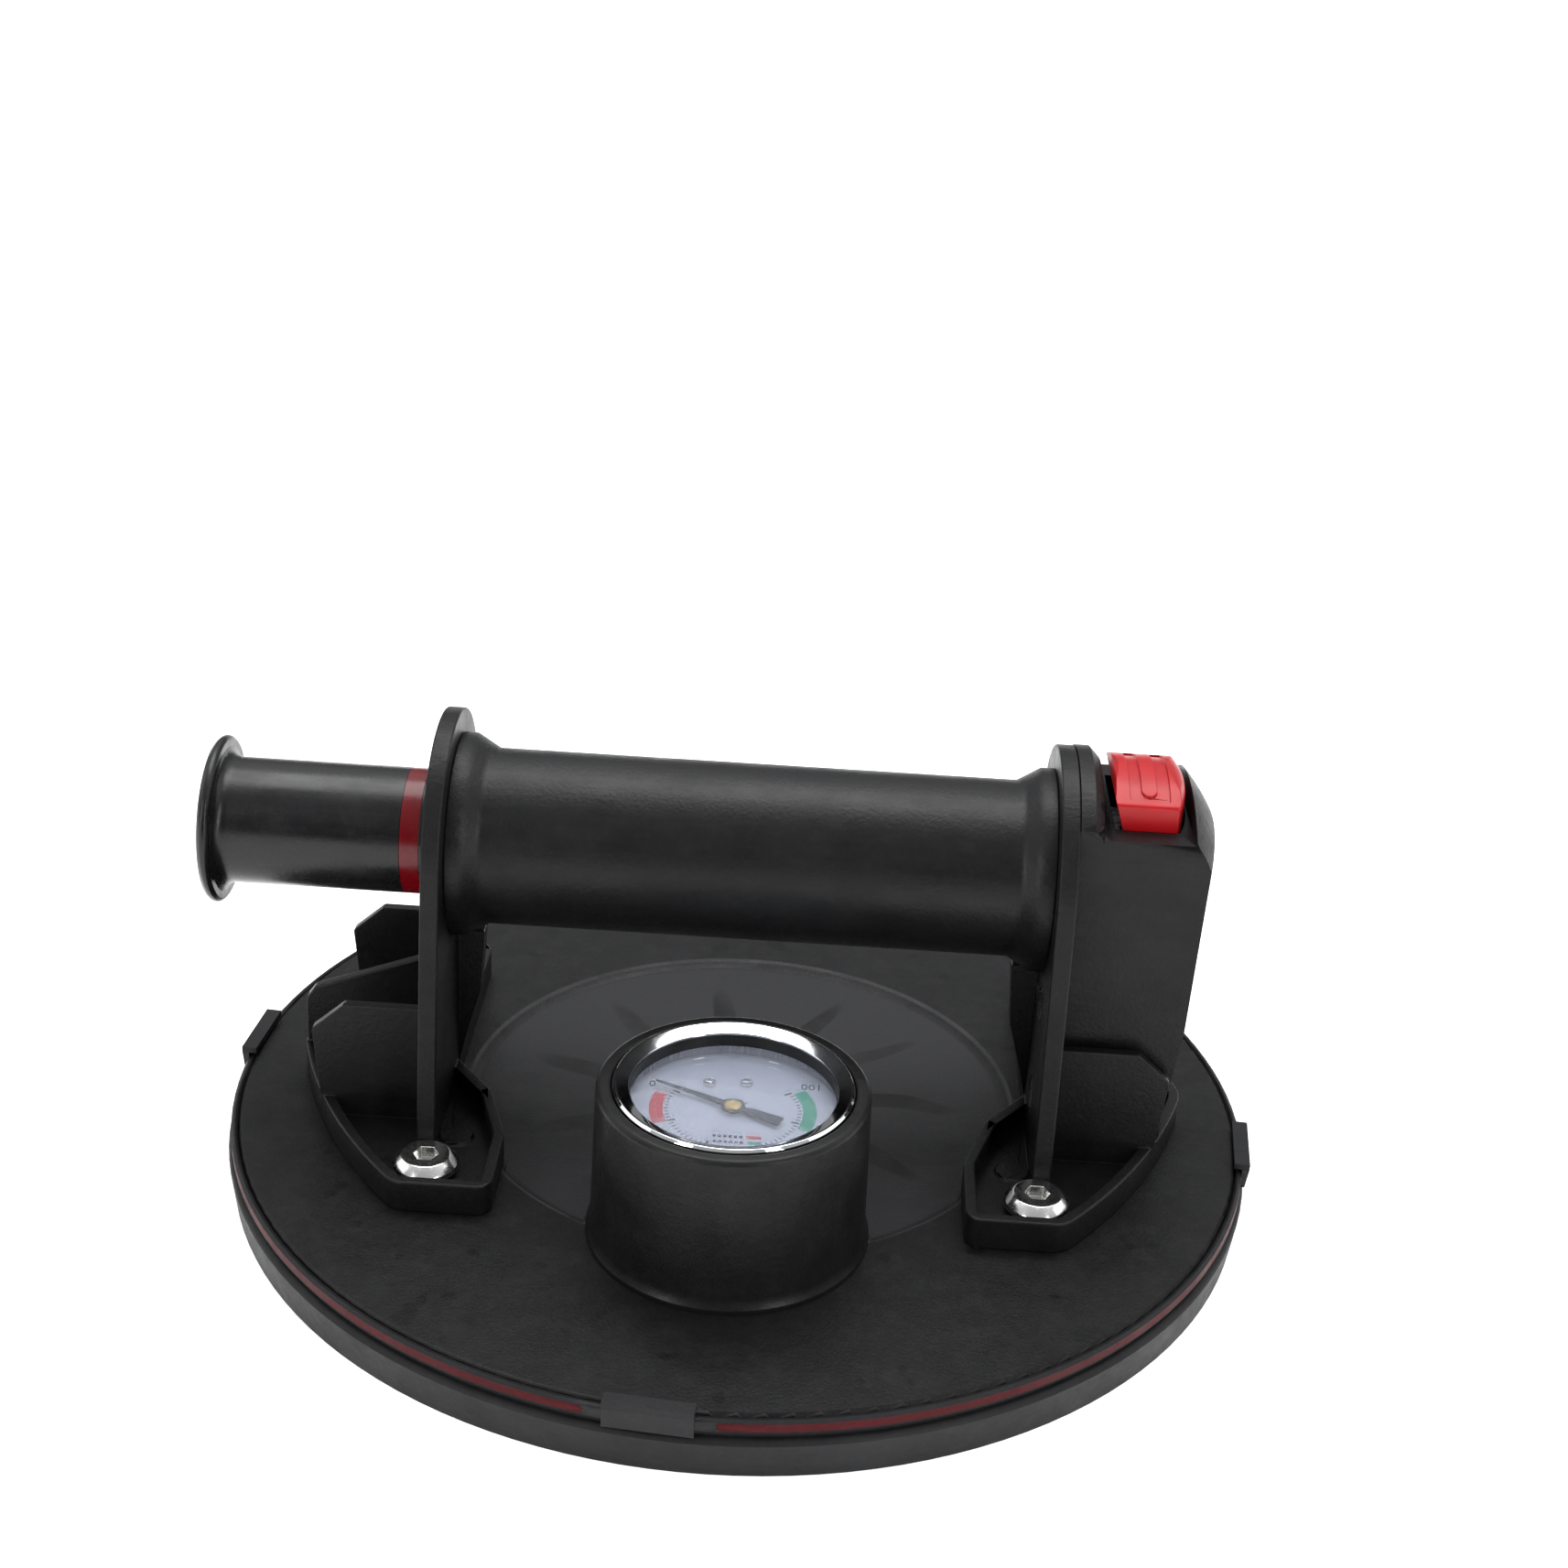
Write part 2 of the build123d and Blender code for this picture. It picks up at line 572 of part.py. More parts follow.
def needle_hub():
    """Bright cap on the pointer's centre."""
    return turned([(0.65, 37.4), (1.7, 37.4), (1.4, 37.75), (0.65, 37.75)], 0, GAUGE_Y)


def pinion_arbor():
    """Arbor that carries the pointer and the pinion."""
    return rod_z(ARBOR_R, 24.1, 37.65, 0, GAUGE_Y) + rod_z(PINION_R, 27.6, 29.9, 0, GAUGE_Y)


def sector_gear():
    """Toothed sector, drawn at its pitch radius, on its own pivot."""
    rim = [(SECTOR_R * math.cos(math.radians(a)), SECTOR_R * math.sin(math.radians(a)))
           for a in range(80, 131, 5)]
    wedge = Polygon((-1.2, -1.0), (1.2, -1.0), *rim, align=None)
    wheel = Pos(0, 0, 28.0) * extrude(wedge, 1.5) + rod_z(0.9, 24.1, 31.9)
    return Pos(0, GAUGE_Y - SECTOR_PIVOT, 0) * wheel


def movement_plates():
    """Two plates and four pillars that carry the arbor, the sector and the dial posts."""
    frame = box(-10, 10, -16, 11, 24.0, 25.2) + box(-10, 10, -16, 11, 31.0, 32.2)
    for x, y in ((-8.4, -13.8), (8.4, -13.8), (-8.4, 9.2), (8.4, 9.2)):
        frame += rod_z(1.2, 24.5, 31.5, x, y)
    for x, y in DIAL_SCREWS:
        frame += rod_z(1.2, 31.5, DIAL_Z[0], x, y)
        frame -= rod_z(0.65, 33.2, 37, x, y)
    frame -= rod_z(ARBOR_R + 0.05, 23, 33)
    frame -= rod_z(0.95, 23, 33, 0, -SECTOR_PIVOT)
    return Pos(0, GAUGE_Y, 0) * frame


def gauge_stem():
    """Threaded stem and socket that feeds the spring tube."""
    stem = turned([(0, 7.4), (4.86, 7.4), (4.86, 13.4), (6.6, 13.4), (6.6, 14.2), (4.5, 14.2),
                   (4.5, 16.5), (0, 16.5)])
    stem += box(-4, 4, -16, 5, 16, 24)
    stem -= rod_z(1.2, 7, 20)
    stem -= rod_z(1.3, 22, 25) + rod_z(1.3, 22, 25, 0, -SECTOR_PIVOT)
    stem -= rod_y(0.8, -14, 0, 0, 20) + rod_x(0.8, 0, 5, -13.4, 20)
    return Pos(0, GAUGE_Y, 0) * stem


def stem_oring():
    """O-ring under the stem's flange."""
    return Pos(0, GAUGE_Y, 12.5) * Torus(5.8, 0.85)


def bourdon_tube():
    """Flattened spring tube, open at the socket and closed at its tip."""
    section = Plane.XZ * (Pos(14, 20) * Ellipse(1.0, 2.2))
    tube = revolve(section, Axis.Z, revolution_arc=270)
    return Pos(0, GAUGE_Y, 0) * Rot(0, 0, -72.0) * tube


NODES = [vacuum_pad, red_rim_line, base_plate, threaded_inserts, left_bracket, right_bracket,
         bracket_screws, handle_grip, pump_cylinder, guide_bush, plunger, vacuum_warning_band,
         thumb_pad, piston_head, piston_cup_seal, seal_retainer, retainer_screw, pump_spring,
         cylinder_end_cap, inlet_valve, port_oring, valve_block, valve_block_screws,
         housing_screws, valve_housing, release_button, release_stem, release_seal,
         release_spring, hose_barb, port_nipple, vacuum_hose, port_filter, gauge_boot,
         gauge_case, gauge_bezel, gauge_lens, gauge_gasket, gauge_dial, dial_screws,
         gauge_needle, needle_hub, pinion_arbor, sector_gear, movement_plates, gauge_stem,
         stem_oring, bourdon_tube]

os.makedirs("parts", exist_ok=True)
for node in NODES:
    export_step(node(), f"parts/{node.__name__}.step")
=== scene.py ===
"""Looks for the vacuum lifting cup: finishes, broken edges, printed dial, springs, light and camera."""
import json
import math

import bmesh
import bpy
from mathutils import Matrix, Vector

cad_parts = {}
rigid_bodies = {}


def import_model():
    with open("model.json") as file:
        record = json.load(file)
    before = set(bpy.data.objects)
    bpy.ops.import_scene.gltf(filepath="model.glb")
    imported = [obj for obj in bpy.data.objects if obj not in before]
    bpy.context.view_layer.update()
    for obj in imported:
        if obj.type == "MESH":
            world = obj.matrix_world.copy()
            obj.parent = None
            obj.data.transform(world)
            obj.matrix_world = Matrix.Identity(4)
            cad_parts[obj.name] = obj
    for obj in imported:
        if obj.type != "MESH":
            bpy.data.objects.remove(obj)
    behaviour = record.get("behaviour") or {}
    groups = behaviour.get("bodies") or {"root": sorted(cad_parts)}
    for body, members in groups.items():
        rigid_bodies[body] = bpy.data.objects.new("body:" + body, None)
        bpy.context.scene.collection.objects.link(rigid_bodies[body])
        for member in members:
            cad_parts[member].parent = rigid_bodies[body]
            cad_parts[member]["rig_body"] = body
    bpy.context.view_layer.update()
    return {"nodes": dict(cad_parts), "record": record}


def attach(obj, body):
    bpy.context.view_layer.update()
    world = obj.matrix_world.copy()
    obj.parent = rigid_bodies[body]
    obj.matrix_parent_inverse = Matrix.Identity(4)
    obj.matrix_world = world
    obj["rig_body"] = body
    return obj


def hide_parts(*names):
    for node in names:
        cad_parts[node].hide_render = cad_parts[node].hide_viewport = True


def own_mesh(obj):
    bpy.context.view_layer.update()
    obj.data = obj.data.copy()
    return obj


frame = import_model()
CAD = frame["nodes"]
MM = 0.001
GAUGE = Vector((0.0, -0.047, 0.0))
HANDLE_Z = 0.0662
VALVE_X = 0.0735
DIAL_TOP = 0.0363
RECESS_EDGE = 0.0551
NUMBER_RADIUS, NUMBER_SIZE = 16.9, 2.7
LEGEND_ROWS = ((-8.5, 2.2), (-10.3, 2.4))  # (height below the centre, right end) in mm
CAMERA_PLACE = (0.0110, -0.41254, 0.27114)
CAMERA_YAW, CAMERA_PITCH, CAMERA_ROLL = 0.80, 24.75, 3.24


# ---- shader helpers ---------------------------------------------------------------------------
class Finish:
    """A node material on one Principled shader; numbers go straight onto the shader's sockets."""

    def __init__(self, name, **sockets):
        self.material = bpy.data.materials.new(name)
        self.material.use_nodes = True
        self.tree = self.material.node_tree
        self.shader = self.tree.nodes["Principled BSDF"]
        self.place = self.node("ShaderNodeTexCoord").outputs["Object"]
        for key, value in sockets.items():
            self.shader.inputs[key.replace("_", " ")].default_value = value

    def node(self, kind, inputs=None, **settings):
        made = self.tree.nodes.new(kind)
        for key, value in settings.items():
            setattr(made, key, value)
        for key, value in (inputs or {}).items():
            if isinstance(value, bpy.types.NodeSocket):
                self.tree.links.new(value, made.inputs[key])
            else:
                made.inputs[key].default_value = value
        return made

    def use(self, socket, value):
        self.tree.links.new(value, self.shader.inputs[socket])

    def math(self, operation, a, b=0.0):
        return self.node("ShaderNodeMath", {0: a, 1: b}, operation=operation).outputs[0]

    def stretched(self, x, y, z):
        scaled = self.node("ShaderNodeMapping", {"Vector": self.place, "Scale": (x, y, z)})
        return scaled.outputs["Vector"]

    def noise(self, size, detail=3.0, rough=0.5, at=None):
        """Noise whose features are about size metres across."""
        made = self.node("ShaderNodeTexNoise", {"Vector": at or self.place, "Scale": 1.0 / size,
                                                "Detail": detail, "Roughness": rough})
        return made.outputs["Fac"]

    def cells(self, size, at=None):
        made = self.node("ShaderNodeTexVoronoi", {"Vector": at or self.place, "Scale": 1.0 / size})
        return made.outputs["Distance"]

    def remap(self, value, low, high, start=0.3, stop=0.7):
        made = self.node("ShaderNodeMapRange", {"Value": value, "From Min": start, "From Max": stop,
                                                "To Min": low, "To Max": high})
        return made.outputs["Result"]

    def blend(self, factor, a, b):
        made = self.node("ShaderNodeMix", data_type="RGBA")
        for key, value in ((0, factor), (6, a), (7, b)):
            if isinstance(value, bpy.types.NodeSocket):
                self.tree.links.new(value, made.inputs[key])
            else:
                made.inputs[key].default_value = value
        return made.outputs[2]

    def bump(self, *layers):
        """Layers are (height, strength, depth in metres), coarse first."""
        normal = None
        for height, strength, depth in layers:
            inputs = {"Height": height, "Strength": strength, "Distance": depth}
            if normal is not None:
                inputs["Normal"] = normal
            normal = self.node("ShaderNodeBump", inputs).outputs["Normal"]
        self.use("Normal", normal)


def tone(rgb, gain=1.0):
    return tuple(min(1.0, c * gain) for c in rgb) + (1.0,)


def moulded(name, rgb, rough=0.42, grain=0.0003, depth=0.00004, mottle=0.3, specular=0.3):
    """Moulded plastic or rubber: fine grain, cloudy tone, handling smudges and hairline scratches."""
    f = Finish(name, Specular_IOR_Level=specular)
    cloud = f.noise(0.02, 5.0, 0.6)
    speck = f.noise(grain * 2.2, 2.0, 0.6)
    shade = f.blend(f.remap(cloud, 0.0, 1.0), tone(rgb, 1 - mottle), tone(rgb, 1 + mottle))
    shade = f.blend(f.remap(speck, 0.0, 0.35, 0.5, 0.75), shade, tone(rgb, 1.9))
    f.use("Base Color", shade)
    smudge = f.remap(f.noise(0.011, 4.0, 0.65), rough - 0.07, rough + 0.09)
    scratch = f.noise(0.0012, 2.0, 0.5, f.stretched(0.12, 1.0, 1.0))
    f.use("Roughness", f.math("ADD", smudge, f.remap(scratch, -0.03, 0.03)))
    f.grain = f.noise(grain, 4.0, 0.65)
    f.bump((f.noise(0.006, 2.0), 0.10, 0.0001), (f.grain, 0.45, depth))
    return f


def metal(name, rgb, rough=0.2, along=(1.0, 1.0, 1.0), mark=0.05, grain=0.0006):
    """Metal with fine tool marks drawn out along one direction and a slightly uneven polish."""
    f = Finish(name, Metallic=1.0, Specular_IOR_Level=0.5)
    cloud = f.noise(0.008, 4.0, 0.6)
    f.use("Base Color", f.blend(f.remap(cloud, 0.0, 1.0), tone(rgb, 0.9), tone(rgb, 1.04)))
    lines = f.noise(grain, 3.0, 0.6, f.stretched(*along))
    f.use("Roughness", f.remap(lines, max(rough - mark, 0.02), rough + mark))
    f.bump((lines, 0.12, 0.00002))
    return f


# ---- finishes, one for each of the record's material slots -------------------------------------
def plate_finish():
    """Plate: visible grain, pointed flow marks that run out from the middle, and painted highlights in and
    along the recess.
    """
    rgb = (0.006, 0.006, 0.0064)
    f = moulded("plate_plastic", rgb, 0.42, 0.0006, 0.0002, 0.3, 0.14)
    parts = f.node("ShaderNodeSeparateXYZ", {0: f.place}).outputs
    x, y = parts[0], parts[1]
    radius = f.math("SQRT", f.math("ADD", f.math("MULTIPLY", x, x), f.math("MULTIPLY", y, y)))
    turn = f.math("ARCTAN2", y, x)
    wander = f.math("MULTIPLY", f.noise(0.05, 2.0), 0.5)
    wave = f.math("ABSOLUTE", f.math("SINE", f.math("MULTIPLY", f.math("ADD", turn, wander), 5.5)))
    width = f.remap(radius, 0.80, 1.0, 0.018, 0.046)
    inside = f.remap(f.math("SUBTRACT", wave, width), 0.0, 1.0, 0.0, 0.03)
    reach = f.math("MULTIPLY", f.remap(radius, 0.0, 1.0, 0.020, 0.026),
                   f.remap(radius, 1.0, 0.0, 0.040, 0.050))
    mark = f.math("MULTIPLY", f.math("MULTIPLY", inside, reach), f.remap(f.noise(0.014, 3.0), 0.1, 1.0))
    base = f.shader.inputs["Base Color"].links[0].from_socket
    dull = f.blend(f.remap(f.noise(0.0045, 4.0, 0.7), 0.0, 0.8, 0.45, 0.72), base, tone(rgb, 1.9))
    stain = f.blend(f.remap(f.noise(0.007, 2.0, 0.4), 0.0, 0.75, 0.68, 0.72), dull, tone(rgb, 0.35))
    # Painted sheen: the recess floor is painted lighter, standing in for the reflection it catches.
    recess_with_painted_sheen = f.blend(f.remap(radius, 0.8, 0.0, 0.0525, 0.0545), stain, tone(rgb, 4.5))
    # Painted highlight: a thin lighter ring along the recess edge, broken up by noise.
    rim = f.remap(f.math("ABSOLUTE", f.math("SUBTRACT", radius, RECESS_EDGE)), 0.8, 0.0, 0.0002, 0.0006)
    painted_rim_highlight = f.math("MULTIPLY", rim, f.remap(f.noise(0.012, 3.0), 0.35, 1.0))
    recess_with_painted_sheen = f.blend(painted_rim_highlight, recess_with_painted_sheen, tone(rgb, 8.0))
    f.use("Base Color", f.blend(f.math("MULTIPLY", mark, 0.95), recess_with_painted_sheen, tone(rgb, 0.3)))
    f.bump((f.noise(0.006, 2.0), 0.10, 0.0001), (mark, 0.2, 0.0002), (f.grain, 0.5, 0.0002))
    return f


def button_finish():
    """Satin red cap with a faint swirl in the pigment."""
    rgb = (0.38, 0.005, 0.008)
    f = Finish("button_plastic", Specular_IOR_Level=0.3)
    swirl = f.noise(0.009, 4.0, 0.6, f.stretched(1.0, 0.35, 1.0))
    f.use("Base Color", f.blend(f.remap(swirl, 0.0, 1.0), tone(rgb, 0.88), tone(rgb, 1.08)))
    f.use("Roughness", f.remap(f.noise(0.004, 4.0), 0.27, 0.38))
    f.bump((f.noise(0.0004, 2.0), 0.12, 0.00002))
    return f


def lens_finish():
    """Clear window: thin, faintly blue, with light handling marks."""
    f = Finish("lens_clear", Transmission_Weight=0.94, IOR=1.5, Alpha=0.85, Specular_IOR_Level=0.5)
    f.shader.inputs["Base Color"].default_value = (0.80, 0.83, 0.92, 1.0)
    f.use("Roughness", f.remap(f.noise(0.003, 5.0, 0.7), 0.0, 0.02))
    return f


def dial_finish():
    """White enamel with a trace of orange peel."""
    f = Finish("dial_white", Specular_IOR_Level=0.4)
    f.use("Base Color", f.blend(f.remap(f.noise(0.006, 3.0), 0.0, 1.0), (0.60, 0.62, 0.66, 1),
                                (0.66, 0.68, 0.71, 1)))
    f.use("Roughness", f.remap(f.noise(0.002, 3.0), 0.32, 0.42))
    f.bump((f.noise(0.0008, 2.0), 0.08, 0.00002))
    return f


def ink(name, rgb):
    """Printing ink on the dial, slightly uneven."""
    f = Finish(name, Specular_IOR_Level=0.35)
    f.use("Base Color", f.blend(f.remap(f.noise(0.0007, 3.0), 0.0, 1.0), tone(rgb, 0.85), tone(rgb, 1.1)))
    f.use("Roughness", f.remap(f.noise(0.001, 2.0), 0.35, 0.5))
    return f


def sintered_finish():
    """Porous bronze: packed grains."""
    f = metal("filter_bronze", (0.45, 0.30, 0.14), 0.5, mark=0.1)
    f.bump((f.cells(0.0006), 0.8, 0.0002))
    return f


FINISHES = {
    "pad_rubber": moulded("pad_rubber", (0.009, 0.009, 0.010), 0.5, 0.0007, 0.0001, 0.2, 0.2),
    "red_rubber": moulded("red_rubber", (0.05, 0.0015, 0.003), 0.5, 0.0008, 0.00006, 0.15, 0.12),
    "plate_plastic": plate_finish(),
    "bracket_plastic": moulded("bracket_plastic", (0.0055, 0.0055, 0.006), 0.40, 0.0008, 0.00022, 0.2, 0.19),
    "grip_plastic": moulded("grip_plastic", (0.006, 0.006, 0.0065), 0.37, 0.0008, 0.0002, 0.2, 0.21),
    "plunger_plastic": moulded("plunger_plastic", (0.005, 0.005, 0.0055), 0.27, 0.0008, 0.00006, 0.15, 0.33),
    "red_band": moulded("red_band", (0.12, 0.0015, 0.004), 0.2, 0.0008, 0.00003, 0.1, 0.33),
    "button_plastic": button_finish(),
    "boot_rubber": moulded("boot_rubber", (0.006, 0.006, 0.006), 0.38, 0.0016, 0.00015, 0.4, 0.21),
    "seal_rubber": moulded("seal_rubber", (0.006, 0.006, 0.006), 0.4, 0.0005, 0.00003, 0.2, 0.3),
    "hose_rubber": moulded("hose_rubber", (0.010, 0.010, 0.010), 0.45, 0.0005, 0.00008, 0.2, 0.3),
    "bezel_chrome": metal("bezel_chrome", (0.83, 0.84, 0.86), 0.06, mark=0.025, grain=0.002),
    "lens_clear": lens_finish(),
    "dial_white": dial_finish(),
    "needle_black": ink("needle_black", (0.06, 0.06, 0.065)),
    "brass": metal("brass", (0.78, 0.58, 0.24), 0.24, mark=0.06),
    "screw_steel": metal("screw_steel", (0.72, 0.72, 0.70), 0.17, mark=0.06),
    "spring_steel": metal("spring_steel", (0.48, 0.48, 0.5), 0.3, mark=0.08),
    "stem_steel": metal("stem_steel", (0.6, 0.6, 0.62), 0.25, (1, 1, 0.1)),
    "pump_aluminium": metal("pump_aluminium", (0.72, 0.73, 0.75), 0.3, (0.1, 1, 1), 0.08),
    "filter_bronze": sintered_finish(),
}
SLOT_OF = {p["node"]: p["material_slot"] for p in frame["record"]["subparts"]}
for name, piece in CAD.items():
    piece.data.materials.clear()
    piece.data.materials.append(FINISHES[SLOT_OF[name]].material)


# ---- mesh helpers -------------------------------------------------------------------------------
def new_piece(name, mesh, slot, body="cup_frame", finish=None):
    piece = bpy.data.objects.new(name, mesh)
    bpy.context.scene.collection.objects.link(piece)
    mesh.materials.clear()
    mesh.materials.append((finish or FINISHES[slot]).material)
    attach(piece, body)
    return piece


def softened(piece, edge, angle):
    """Even shading across a piece, with its sharp edges broken."""
    piece.data.set_sharp_from_angle(angle=math.radians(angle))
    if edge:
        bevel = piece.modifiers.new("broken_edges", "BEVEL")
        bevel.width = edge * MM
        bevel.segments = 3
        bevel.limit_method = "ANGLE"
        bevel.angle_limit = math.radians(angle)
        bevel.use_clamp_overlap = False
        bevel.miter_outer = "MITER_ARC"
    even = piece.modifiers.new("even_shading", "WEIGHTED_NORMAL")
    even.keep_sharp = True
    even.weight = 80


def dressed(node, edge, angle):
    """A node's shape rebuilt as one welded skin, with its edges softly broken."""
    bm = bmesh.new()
    bm.from_mesh(CAD[node].data)
    bmesh.ops.remove_doubles(bm, verts=bm.verts, dist=0.000004)
    bmesh.ops.dissolve_degenerate(bm, edges=bm.edges, dist=0.000002)
    for face in bm.faces:
        face.smooth = True
    mesh = bpy.data.meshes.new(node + "_skin")
    bm.to_mesh(mesh)
    bm.free()
    piece = new_piece(node + "_skin", mesh, SLOT_OF[node], CAD[node]["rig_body"])
    softened(piece, edge, angle)
    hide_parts(node)


def lathed(node, outline, centre, edge, angle, steps=192):
    """A turned node made again with many more sides; outline is (radius, height) in mm."""
    bm = bmesh.new()
    rings = []
    for i in range(steps):
        turn = 2 * math.pi * i / steps
        rings.append([bm.verts.new((centre.x + r * MM * math.cos(turn),
                                    centre.y + r * MM * math.sin(turn), z * MM)) for r, z in outline])
    for i in range(steps):
        here, after = rings[i], rings[(i + 1) % steps]
        for j in range(len(outline)):
            k = (j + 1) % len(outline)
            bm.faces.new((here[j], after[j], after[k], here[k])).smooth = True
    bmesh.ops.recalc_face_normals(bm, faces=bm.faces)
    mesh = bpy.data.meshes.new(node + "_skin")
    bm.to_mesh(mesh)
    bm.free()
    piece = new_piece(node + "_skin", mesh, SLOT_OF[node], CAD[node]["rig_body"])
    softened(piece, edge, angle)
    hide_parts(node)


def swept(name, points, radius, slot, body="cup_frame"):
    """Round wire along a line of points, as a mesh."""
    curve = bpy.data.curves.new(name, "CURVE")
    curve.dimensions = "3D"
    curve.bevel_depth = radius
    curve.bevel_resolution = 3
    curve.use_fill_caps = True
    line = curve.splines.new("POLY")
    line.points.add(len(points) - 1)
    for spot, p in zip(line.points, points):
        spot.co = (*p, 1.0)
    holder = bpy.data.objects.new(name + "_line", curve)
    mesh = bpy.data.meshes.new_from_object(holder)
    bpy.data.objects.remove(holder)
    for face in mesh.polygons:
        face.use_smooth = True
    return new_piece(name, mesh, slot, body)


def flat_piece(name, outlines, z, thickness, slot, finish):
    """Thin printed shapes from closed outlines, set at one height."""
    bm = bmesh.new()
    for outline in outlines:
        base = [bm.verts.new((x, y, z)) for x, y in outline]
        top = [bm.verts.new((x, y, z + thickness)) for x, y in outline]
        bm.faces.new(top)
        bm.faces.new(base[::-1])
        for i in range(len(base)):
            j = (i + 1) % len(base)
            bm.faces.new((base[i], base[j], top[j], top[i]))
    bmesh.ops.recalc_face_normals(bm, faces=bm.faces)
    mesh = bpy.data.meshes.new(name)
    bm.to_mesh(mesh)
    bm.free()
    return new_piece(name, mesh, slot, finish=finish)


# ---- skins with broken edges ---------------------------------------------------------------------
EDGES = {  # node: (edge radius in mm, angle above which an edge counts as one)
    "vacuum_pad": (0, 24), "red_rim_line": (0, 40), "base_plate": (0, 10),
    "left_bracket": (0.35, 34), "right_bracket": (0.35, 34), "bracket_screws": (0.1, 34),
    "handle_grip": (0.3, 34), "plunger": (0.15, 34), "thumb_pad": (0.25, 34),
    "valve_housing": (0, 22), "release_button": (0.12, 30), "gauge_boot": (0.1, 28),
    "guide_bush": (0.15, 34), "dial_screws": (0.05, 34),
    "needle_hub": (0.05, 30)}
for node, (edge, angle) in EDGES.items():
    dressed(node, edge, angle)
lathed("gauge_bezel", ((20.6, 35.7), (21.4, 35.7), (21.4, 40.4), (21.9, 40.4), (21.9, 42.5), (21.5, 43.0),
                       (21.1, 43.0), (18.9, 42.0), (18.9, 41.6), (20.6, 41.6)), GAUGE, 0.08, 25)


# ---- springs ---------------------------------------------------------------------------------------
def helix(radius, wire, length, turns, steps=28):
    """Open helix between two flat ends, along +Z from zero."""
    count = int(turns * steps)
    return [(radius * math.cos(2 * math.pi * i / steps), radius * math.sin(2 * math.pi * i / steps),
             wire + (length - 2 * wire) * i / count) for i in range(count + 1)]


coil = [(-0.0082 + z, y, HANDLE_Z + x) for x, y, z in helix(0.009, 0.0007, 0.0500, 9)]
pump_spring = swept("pump_spring_coil", coil, 0.0007, "spring_steel")
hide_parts("pump_spring")
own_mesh(pump_spring)

coil = [(VALVE_X + x, y, 0.0736 + z) for x, y, z in helix(0.003, 0.00035, 0.0062, 4)]
release_spring = swept("release_spring_coil", coil, 0.00035, "spring_steel")
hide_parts("release_spring")
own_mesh(release_spring)


# ---- printing on the dial ------------------------------------------------------------------------------
def polar(radius, degrees):
    turn = math.radians(degrees)
    return (GAUGE.x + radius * MM * math.cos(turn), GAUGE.y + radius * MM * math.sin(turn))


def sector(inner, outer, start, stop, steps=40):
    angles = [start + (stop - start) * i / steps for i in range(steps + 1)]
    return [polar(outer, a) for a in angles] + [polar(inner, a) for a in reversed(angles)]


def tick(inner, outer, degrees, width):
    cx, cy = math.cos(math.radians(degrees)), math.sin(math.radians(degrees))
    corners = ((inner, -width), (outer, -width), (outer, width), (inner, width))
    return [(GAUGE.x + (r * cx - w * cy) * MM, GAUGE.y + (r * cy + w * cx) * MM) for r, w in corners]


def bar(x0, x1, y0, y1):
    return [(GAUGE.x + x * MM, GAUGE.y + y * MM) for x, y in ((x0, y0), (x1, y0), (x1, y1), (x0, y1))]


ZERO, SPAN = 154.0, 240.0
BLACK_INK = ink("dial_black", (0.012, 0.012, 0.014))
RED_INK = ink("dial_red", (0.70, 0.05, 0.06))
GREEN_INK = ink("dial_green", (0.05, 0.42, 0.25))
flat_piece("dial_red_zone", [sector(12.7, 15.2, 162, 203), bar(2.8, 5.5, -9.0, -8.0)],
           DIAL_TOP, 0.00003, "dial_white", RED_INK)
flat_piece("dial_green_zone", [sector(12.7, 15.2, 338, 392), bar(3.2, 5.7, -10.8, -9.8)],
           DIAL_TOP, 0.00003, "dial_white", GREEN_INK)
scale = []
for i in range(51):
    major = i % 10 == 0
    scale.append(tick(11.0 if major else 11.7, 12.5, ZERO + SPAN * i / 50, 0.22 if major else 0.11))
scale += [tick(2.6, 3.4 if i % 2 else 3.9, 50 + 10 * i, 0.1) for i in range(9)]
flat_piece("dial_scale", scale, DIAL_TOP, 0.00003, "dial_white", BLACK_INK)
dashes = []
for row, stop in LEGEND_ROWS:
    for i in range(6):
        x = stop - 0.95 * i
        dashes.append(bar(x - 0.62, x, row - 0.36, row + 0.36))
flat_piece("dial_legend", dashes, DIAL_TOP, 0.00003, "dial_white", BLACK_INK)


def numeral(text, degrees, radius, size):
    """Number printed on the dial, upright for someone on the +Y side."""
    curve = bpy.data.curves.new("numeral_" + text, "FONT")
    curve.body = text
    curve.size = size * MM
    curve.align_x = "CENTER"
    curve.align_y = "CENTER"
    curve.extrude = 0.000015
    curve.resolution_u = 4
    holder = bpy.data.objects.new("numeral_line", curve)
    bpy.context.scene.collection.objects.link(holder)
    graph = bpy.context.evaluated_depsgraph_get()
    mesh = bpy.data.meshes.new_from_object(holder.evaluated_get(graph))
    bpy.data.objects.remove(holder)
    x, y = polar(radius, degrees)
    mesh.transform(Matrix.Translation((x, y, DIAL_TOP + 0.00004)) @ Matrix.Rotation(math.pi, 4, "Z"))
    new_piece("dial_number_" + text, mesh, "dial_white", finish=BLACK_INK)


for i, text in enumerate(("0", "20", "40", "60", "80", "100")):
    numeral(text, ZERO + SPAN * i / 5, NUMBER_RADIUS, NUMBER_SIZE)


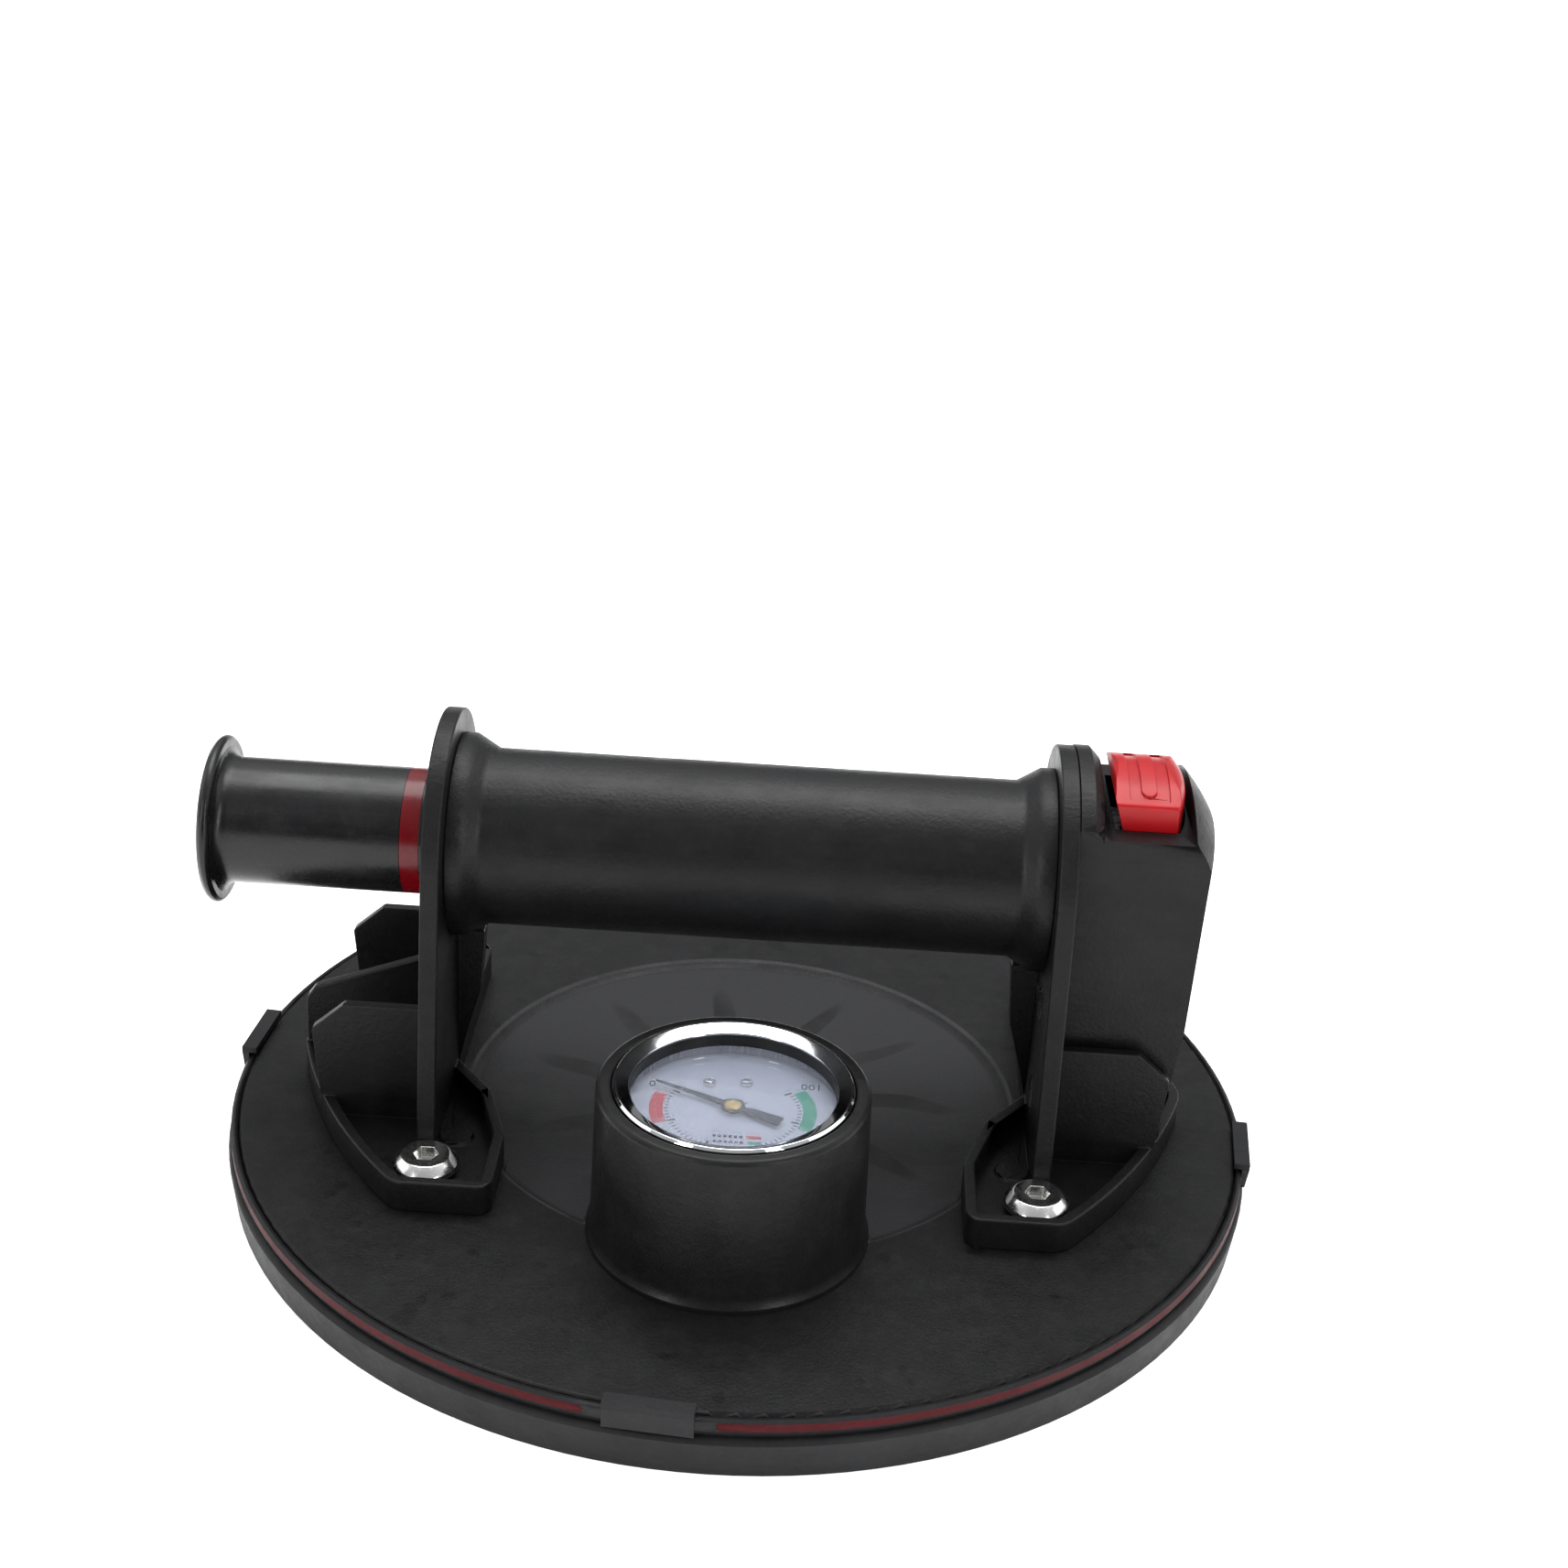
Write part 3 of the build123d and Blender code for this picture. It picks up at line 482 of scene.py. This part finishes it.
# ---- floor, light and camera ------------------------------------------------------------------------------
bm = bmesh.new()
bmesh.ops.create_grid(bm, x_segments=8, y_segments=8, size=7.0)
floor_mesh = bpy.data.meshes.new("floor")
bm.to_mesh(floor_mesh)
bm.free()
floor = bpy.data.objects.new("floor", floor_mesh)
bpy.context.scene.collection.objects.link(floor)
floor_finish = Finish("floor_white", Specular_IOR_Level=0.1, Roughness=0.8, Emission_Strength=0.58)
floor_finish.shader.inputs["Emission Color"].default_value = (1.0, 1.0, 1.0, 1.0)
floor_finish.use("Base Color", floor_finish.blend(floor_finish.noise(0.4, 3.0), (0.86, 0.86, 0.86, 1),
                                                  (0.90, 0.90, 0.90, 1)))
floor_mesh.materials.append(floor_finish.material)

world = bpy.data.worlds.new("studio")
world.use_nodes = True
tree = world.node_tree
way = tree.nodes.new("ShaderNodeTexCoord").outputs["Generated"]
parts = tree.nodes.new("ShaderNodeSeparateXYZ")
tree.links.new(way, parts.inputs[0])
levels = []
for axis, start, stop, low, high in (("Y", -0.75, 0.45, 0.35, 1.0), ("Z", 0.15, 0.85, 0.22, 1.3)):
    fall = tree.nodes.new("ShaderNodeMapRange")
    fall.interpolation_type = "SMOOTHSTEP"
    fall.inputs["From Min"].default_value, fall.inputs["From Max"].default_value = start, stop
    fall.inputs["To Min"].default_value, fall.inputs["To Max"].default_value = low, high
    tree.links.new(parts.outputs[axis], fall.inputs["Value"])
    levels.append(fall.outputs["Result"])
product = tree.nodes.new("ShaderNodeMath")
product.operation = "MULTIPLY"
for i in range(2):
    tree.links.new(levels[i], product.inputs[i])
backdrop = tree.nodes["Background"]
backdrop.inputs["Color"].default_value = (0.97, 0.985, 1.0, 1.0)
tree.links.new(product.outputs[0], backdrop.inputs["Strength"])
bpy.context.scene.world = world


def softbox(name, place, target, width, height, power):
    light = bpy.data.lights.new(name, "AREA")
    light.shape = "RECTANGLE"
    light.size, light.size_y = width, height
    light.energy = power
    lamp = bpy.data.objects.new(name, light)
    bpy.context.scene.collection.objects.link(lamp)
    lamp.location = place
    lamp.rotation_euler = (Vector(target) - Vector(place)).to_track_quat("-Z", "Y").to_euler()


softbox("overhead", (0.05, 0.35, 1.3), (0, 0, 0), 1.2, 0.8, 16.0)
softbox("left_window", (-1.2, 0.2, 0.6), (0, 0, 0.03), 1.0, 0.9, 3.0)
softbox("right_window", (1.2, 0.2, 0.6), (0, 0, 0.03), 1.0, 0.9, 3.0)
softbox("left_strip", (-0.75, -0.85, 0.5), (0, 0, 0.03), 0.22, 0.8, 5.0)
softbox("right_strip", (0.75, -0.85, 0.5), (0, 0, 0.03), 0.22, 0.8, 5.0)

yaw, pitch, roll = (math.radians(a) for a in (CAMERA_YAW, CAMERA_PITCH, CAMERA_ROLL))
forward = Vector((-math.sin(yaw) * math.cos(pitch), math.cos(yaw) * math.cos(pitch), -math.sin(pitch)))
level = forward.cross(Vector((0, 0, 1))).normalized()
upright = level.cross(forward)
across = level * math.cos(roll) + upright * math.sin(roll)
up = upright * math.cos(roll) - level * math.sin(roll)
lens = bpy.data.cameras.new("camera")
lens.lens = 54.64
lens.sensor_width = 36.0
lens.clip_start = 0.02
camera = bpy.data.objects.new("camera", lens)
bpy.context.scene.collection.objects.link(camera)
camera.matrix_world = Matrix.Translation(CAMERA_PLACE) @ Matrix(
    (across, up, -forward)).transposed().to_4x4()
bpy.context.scene.camera = camera
bpy.context.scene.view_settings.view_transform = "Standard"
